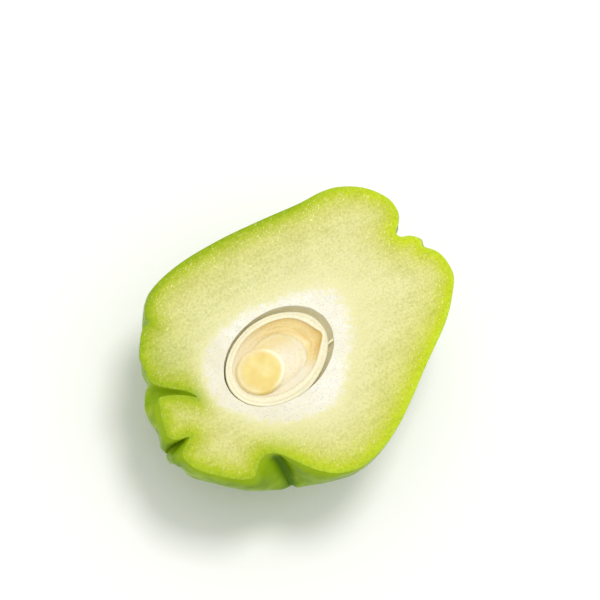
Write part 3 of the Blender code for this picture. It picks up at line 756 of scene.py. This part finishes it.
def makeSeedCoat(material):
    shape = coatShape
    top = fruitShape["depth"] - shape["belowCut"]
    around = -np.linspace(0, 2 * math.pi, shape["columns"], endpoint=False)
    turns = np.degrees(np.arctan2(np.sin(around), np.cos(around)))
    tip = 1 + shape["tip"] * np.exp(-((turns - shape["tipTurn"]) / shape["tipWidth"]) ** 2)
    outward = np.stack([np.cos(around), np.sin(around)], 1)
    unevenness = noiseAt(np.column_stack([outward, np.zeros_like(around)]), 0.35, 2.0)

    # the outer edge follows the hollow's wall, a gap inside it
    hollowX, hollowY = fruitShape["hollowCentre"]
    wall = outward * fruitShape["hollowRadii"][:2]
    reach = np.linalg.norm(wall, axis=1)
    gap = roundTable(np.degrees(np.arctan2(wall[:, 1], wall[:, 0])), shape["gap"])
    edge = wall * (1 - gap / reach)[:, None]

    def insideRing(turn, tipShare, uneven):
        a, b, c = shape["insideRadii"]
        x = a * math.cos(turn) * np.cos(around) * (1 + (tip - 1) * tipShare)
        y = b * math.cos(turn) * np.sin(around)
        spread = np.stack([x, y], 1) + outward * (uneven * unevenness)[:, None]
        return np.column_stack([spread + shape["insideCentre"], np.full_like(x, top - c * math.sin(turn))])

    rings, lining, line = [], [], []
    for row in range(shape["outerRows"]):
        turn = (1 - (row + 1) / shape["outerRows"]) * math.pi / 2
        spread = edge * math.cos(turn) + (hollowX, hollowY)
        height = min(top - shape["depth"] * math.sin(turn), top - shape["rimHeight"])
        rings.append(np.column_stack([spread, np.full(len(around), height)]))
        lining.append(0.0)
        line.append(0.0)
    outer = rings[-1]
    inner = insideRing(0, 1, shape["wobble"])
    for row in range(1, shape["rimRows"]):
        share = row / shape["rimRows"]
        lift = shape["rimHeight"] * math.sin(share * math.pi) - shape["rimHeight"]
        groove = math.exp(-((share - shape["lineAt"]) / shape["lineWidth"]) ** 2)
        between = outer * (1 - share) + inner * share
        between[:, 2] = top + lift - shape["lineDepth"] * groove
        rings.append(between)
        lining.append(0.0)
        line.append(groove)
    innerStart = len(rings)
    for row in range(shape["innerRows"]):
        turn = row / shape["innerRows"] * math.pi / 2
        rings.append(insideRing(turn, 1 - row / shape["innerRows"], shape["wobble"] * math.cos(turn)))
        lining.append(min(1.0, row / 3))
        line.append(0.0)
    grid = np.array(rings)

    # folds of the lining run round it in long arcs, and are strongest at the pointed end
    inside = grid[innerStart:]
    rowNumbers = np.arange(len(inside))
    towardsTip = 0.35 + 0.65 * np.clip(np.cos(around), 0, 1)
    unrolled = np.stack(np.broadcast_arrays(*(shape["foldRound"] * outward).T,
                                            rowNumbers[:, None] / shape["foldRows"]), axis=2)
    folds = noiseAt(unrolled, 1, 3.0)
    middle = np.array([*shape["insideCentre"], top])
    inside += (middle - inside) / np.linalg.norm(middle - inside, axis=2)[..., None] \
        * (folds * towardsTip * shape["folds"] * smoothStep(rowNumbers, 0, 3)[:, None])[..., None]

    # painted shade: tan where the lining shows, from the upper side round the tip to the lower side, and
    # brown in its folds, at the tip and in the corner under the rim
    tanRound = smoothStep(turns, *shape["tanFrom"]) * (1 - smoothStep(turns, *shape["tanTo"]))
    tanDown = np.zeros(len(rings))
    tanDown[innerStart:] = smoothStep(rowNumbers, 0, 2)
    atTip = np.exp(-((turns - shape["tipTurn"]) / shape["brownWidth"]) ** 2)
    inFolds, inTip, underRim = shape["brownShares"]
    brownShade = np.zeros(grid.shape[:2])
    brownShade[innerStart:] = inFolds * smoothStep(folds, -0.1, 0.5) \
        + inTip * np.outer(1 - smoothStep(rowNumbers, 3, 14), atTip) \
        + underRim * (1 - smoothStep(rowNumbers, 1, 6))[:, None]
    lineRound = 0.3 + 0.7 * smoothStep(np.abs(turns), *shape["lineFade"])
    points, faces = closedForm(grid, [hollowX, hollowY, top - shape["depth"]],
                               [*shape["insideCentre"], top - shape["insideRadii"][2]])
    marks = {"tanShade": np.append(np.outer(tanDown, tanRound), [0, 0]),
             "lining": np.append(np.outer(lining, np.ones(shape["columns"])), [0, 1]),
             "cutLine": np.append(np.outer(line, lineRound), [0, 0]),
             "brownShade": np.append(np.clip(brownShade, 0, 1), [0, 0])}
    coat = makePiece("seedCoat", points, faces, [material], marks=marks)
    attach(coat, "root")
    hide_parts("seed_coat")
    print("seed coat made:", len(points), "points")


# The thread that held the seed to the fruit, from the coat to the hollow's wall
threadShape = {
    "start": (3.2, -7.1, -0.7), "end": (7.1, -7.05, -0.8), "radius": 0.58, "waist": 0.62, "bend": 0.12,
    "sides": 12, "steps": 14,
}


def makeSeedThread(material):
    shape = threadShape
    top = fruitShape["depth"] - coatShape["belowCut"]
    start, end = (np.array(shape[key]) + (0, 0, top) for key in ("start", "end"))
    along = (end - start) / np.linalg.norm(end - start)
    side = np.array([-along[1], along[0], 0.0])
    up = np.cross(along, side)
    around = np.linspace(0, 2 * math.pi, shape["sides"], endpoint=False)
    rings = []
    for step in range(shape["steps"] + 1):
        share = step / shape["steps"]
        radius = shape["radius"] * (shape["waist"] + (1 - shape["waist"]) * abs(2 * share - 1) ** 1.5)
        centre = start + (end - start) * share + side * shape["bend"] * math.sin(share * math.pi)
        rings.append(centre + radius * (np.cos(around)[:, None] * side + np.sin(around)[:, None] * up))
    points, faces = closedForm(np.array(rings), start, end)
    zeros = np.zeros(len(points))
    thread = makePiece("seedThread", points, faces, [material],
                       marks={"tanShade": zeros, "lining": zeros, "cutLine": zeros, "brownShade": zeros})
    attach(thread, "root")
    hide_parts("seed_coat")


# The kernel: a seed leaf cut flat by the knife, and the seed leaf under it
kernelShape = {
    "cutLeaf": {"centre": (-19.2, 0.4, -1.1), "radii": (8.7, 7.5, 2.8), "belowCut": 0.1, "faceHollow": 0.12,
                "rimWidth": 0.06, "rimFade": 0.12, "rimTurn": 0.35,
                "softEdge": 0.45, "softFade": 0.35, "softTurn": 0.7},
    "lowerLeaf": {"centre": (-11.4, -0.4, -2.95), "radii": (11.4, 9.8, 1.15), "ripple": 0.09, "ripples": 5,
                  "lumpHeight": 0.3, "lumpGrain": (6, 4, 3), "paleSide": 0.75, "paleMiddle": 0.5},
    "columns": 144, "rows": 34, "faceRows": 20, "sideRows": 14, "dimple": 0.012, "poleTurn": 0.47,
}


def leafRings(centre, radii, columns, rows, fromTurn, toTurn):
    around = np.linspace(0, 2 * math.pi, columns, endpoint=False)
    a, b, c = radii
    out = []
    for row in range(rows):
        turn = fromTurn + (toTurn - fromTurn) * row / (rows - 1)
        size = math.cos(turn)
        out.append(np.stack([a * size * np.cos(around), b * size * np.sin(around),
                             np.full(columns, c * math.sin(turn))], axis=1) + centre)
    return np.array(out)


def makeLeaf(name, rings, bottom, crown, marks, material):
    points, faces = closedForm(rings, bottom, crown)
    leaf = makePiece(name, points, faces, [material], marks=marks)
    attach(leaf, "root")
    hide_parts("seed_kernel")


def makeKernel(material):
    shape = kernelShape
    top = fruitShape["depth"]
    columns, rows = shape["columns"], shape["rows"]
    poleTurn = shape["poleTurn"] * math.pi
    leaf = shape["cutLeaf"]
    centre = np.array([leaf["centre"][0], leaf["centre"][1], top + leaf["centre"][2]])
    cutTurn = math.asin((-leaf["centre"][2] - leaf["belowCut"]) / leaf["radii"][2])
    body = leafRings(centre, leaf["radii"], columns, rows, -poleTurn, cutTurn)
    edge = body[-1]
    faceCentre = np.array([centre[0], centre[1], top - leaf["belowCut"]])
    face = []
    for row in range(1, shape["faceRows"]):
        share = row / shape["faceRows"]
        ring = edge * (1 - share) + faceCentre * share
        ring[:, 2] = faceCentre[2] - leaf["faceHollow"] * smoothStep(share, 0.0, 0.25)
        face.append(ring)
    rings = np.vstack([body, face])
    rings += (rings - centre) * (shape["dimple"] * noiseAt(rings, (3.0, 3.0, 3.0), 1.0))[..., None]
    rings[..., 2] = np.minimum(rings[..., 2], top - leaf["belowCut"])
    cutShare = np.zeros(rings.shape[:2])
    rimHighlight = np.zeros(rings.shape[:2])
    around = np.linspace(0, 2 * math.pi, columns, endpoint=False)
    # painted highlight: a pale rim on the side of the cut leaf that faces the light
    bright = np.clip(np.cos(around + leaf["rimTurn"]), 0, 1)
    softEdge = leaf["softEdge"] * smoothStep(-np.cos(around + leaf["softTurn"]), -0.4, 0.5)
    rimEnd = leaf["rimWidth"] + leaf["rimFade"]
    for row in range(shape["faceRows"] - 1):
        share = (row + 1) / shape["faceRows"]
        rimHighlight[rows + row] = (1 - smoothStep(share, leaf["rimWidth"], rimEnd)) * bright
        cutShare[rows + row] = 1 - softEdge * (1 - smoothStep(share, 0.0, leaf["softFade"]))
    sideRows = slice(rows - shape["sideRows"], rows)
    cutShare[sideRows] = 1 - softEdge
    rimHighlight[sideRows] = bright
    marks = {"cutShare": np.append(cutShare, [0, 1]), "rimHighlight": np.append(rimHighlight, [0, 0]),
             "pale": np.ones(cutShare.size + 2)}
    crown = faceCentre - (0, 0, leaf["faceHollow"])
    makeLeaf("cutSeedLeaf", rings, centre - (0, 0, leaf["radii"][2]), crown, marks, material)

    leaf = shape["lowerLeaf"]
    centre = np.array([leaf["centre"][0], leaf["centre"][1], top + leaf["centre"][2]])
    rings = leafRings(centre, leaf["radii"], columns, rows, -poleTurn, poleTurn)
    rings += (rings - centre) * (2 * shape["dimple"] * noiseAt(rings, (4.0, 3.0, 3.0), 8.0))[..., None]
    fromCentre = np.hypot(*((rings[..., i] - centre[i]) / leaf["radii"][i] for i in (0, 1)))
    above = smoothStep(rings[..., 2] - centre[2], 0.0, 0.6)
    lumps = leaf["lumpHeight"] * noiseAt(rings, leaf["lumpGrain"], 4.0)
    rings[..., 2] += above * (lumps + leaf["ripple"] * np.sin(fromCentre * leaf["ripples"] * 2 * math.pi))
    pale = leaf["paleSide"] * smoothStep(-rings[..., 1] + 0.3 * (rings[..., 0] + 10), -4, 4)
    pale += leaf["paleMiddle"] * (1 - smoothStep(fromCentre, 0.2, 0.7))
    pale = np.clip(pale, 0, 1)
    zeros = np.zeros(pale.size + 2)
    marks = {"cutShare": zeros, "rimHighlight": zeros, "pale": np.append(pale, [0, 0.5])}
    crown = centre + (0, 0, leaf["radii"][2])
    makeLeaf("lowerSeedLeaf", rings, centre - (0, 0, leaf["radii"][2]), crown, marks, material)
    print("kernel made")


# Camera, floor and light
view = {
    "target": (8.05, 9.84, 38.0), "azimuth": -72.0, "elevation": 63.0, "roll": 30.0, "distance": 600.0,
    "lens": 110.0, "sensor": 36.0,
}
studio = {
    "floorSize": 6000.0, "floorColour": "#ffffff", "roomLight": 0.74,
    "keyPlace": (240, 140, 1110), "keySize": 420, "keyPower": 4.9, "keyColour": "#fffdf8",
}


def makeCamera():
    azimuth, elevation, roll = (math.radians(view[key]) for key in ("azimuth", "elevation", "roll"))
    back = Vector((math.sin(azimuth) * math.cos(elevation), -math.cos(azimuth) * math.cos(elevation),
                   math.sin(elevation)))
    right = Vector((math.cos(azimuth), math.sin(azimuth), 0.0))
    up = back.cross(right)
    imageRight = right * math.cos(roll) + up * math.sin(roll)
    imageUp = up * math.cos(roll) - right * math.sin(roll)
    data = bpy.data.cameras.new("camera")
    data.lens = view["lens"]
    data.sensor_width = view["sensor"]
    data.clip_end = 20.0
    camera = bpy.data.objects.new("camera", data)
    turn = Matrix((imageRight, imageUp, back)).transposed().to_4x4()
    place = (Vector(view["target"]) + back * view["distance"]) * mm
    camera.matrix_world = Matrix.Translation(place) @ turn
    bpy.context.scene.collection.objects.link(camera)
    bpy.context.scene.camera = camera


def makeStudio():
    size = studio["floorSize"] / 2
    corners = [(-size, -size, 0), (size, -size, 0), (size, size, 0), (-size, size, 0)]
    material = startMaterial("matt white table", Roughness=0.7,
                             Base_Color=hexColour(studio["floorColour"]))[0]
    floor = makePiece("floor", corners, [(0, 1, 2, 3)], [material])
    world = bpy.data.worlds.new("white room")
    world.use_nodes = True
    background = world.node_tree.nodes["Background"]
    background.inputs["Color"].default_value = (1, 1, 1, 1)
    background.inputs["Strength"].default_value = studio["roomLight"]
    bpy.context.scene.world = world
    data = bpy.data.lights.new("key light", "AREA")
    data.shape = "DISK"
    data.size = studio["keySize"] * mm
    data.energy = studio["keyPower"]
    data.color = hexColour(studio["keyColour"])[:3]
    key = bpy.data.objects.new("key light", data)
    place = Vector(studio["keyPlace"]) * mm
    key.location = place
    key.rotation_euler = place.to_track_quat("Z", "Y").to_euler()
    bpy.context.scene.collection.objects.link(key)
    bpy.context.scene.view_settings.view_transform = "Standard"


makeCamera()
makeStudio()
print("camera, floor and light made")
makeFruit(makeSkinMaterial(), makeFleshMaterial())
coatMaterial = makeCoatMaterial()
makeSeedCoat(coatMaterial)
makeSeedThread(coatMaterial)
makeKernel(makeKernelMaterial())
